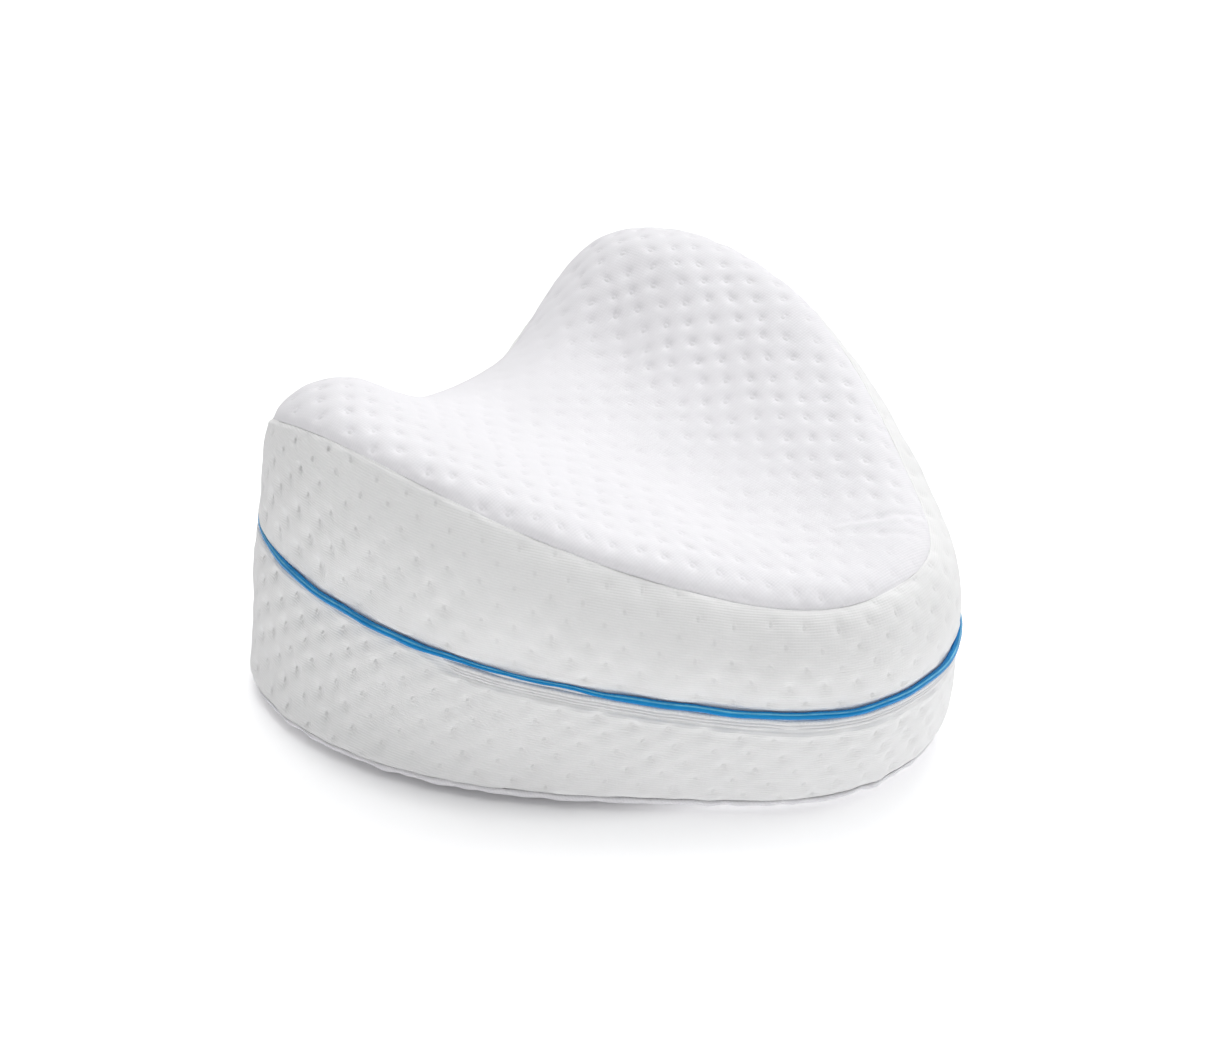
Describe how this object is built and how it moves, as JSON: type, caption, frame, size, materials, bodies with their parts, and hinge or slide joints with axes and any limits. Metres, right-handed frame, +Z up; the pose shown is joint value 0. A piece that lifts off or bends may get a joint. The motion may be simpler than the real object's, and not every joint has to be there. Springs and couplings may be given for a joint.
{
  "type": "knee pillow",
  "caption": "Heart-shaped contoured knee pillow with a leg channel between two raised lobes, dimpled white knit cover, side bands, blue piping round the middle and a zip line under it.",
  "frame": {"origin": "middle of the footprint's box, on the surface that the pillow stands on", "axes": "+X from the notch between the lobes to the tip, +Y across the pillow, +Z up"},
  "size_m": [0.2492, 0.2538, 0.1273],
  "materials": {
    "knit_cover": "soft matt double knit with small sewn-in dimples",
    "blue_piping": "smooth woven piping with a slight sheen",
    "zip": "matt white coil on a woven tape"
  },
  "bodies": {
    "root": {"cushion": "knit_cover", "top_panel": "knit_cover", "bottom_panel": "knit_cover", "piping": "blue_piping", "zip_coil": "zip"}
  },
  "joints": []
}
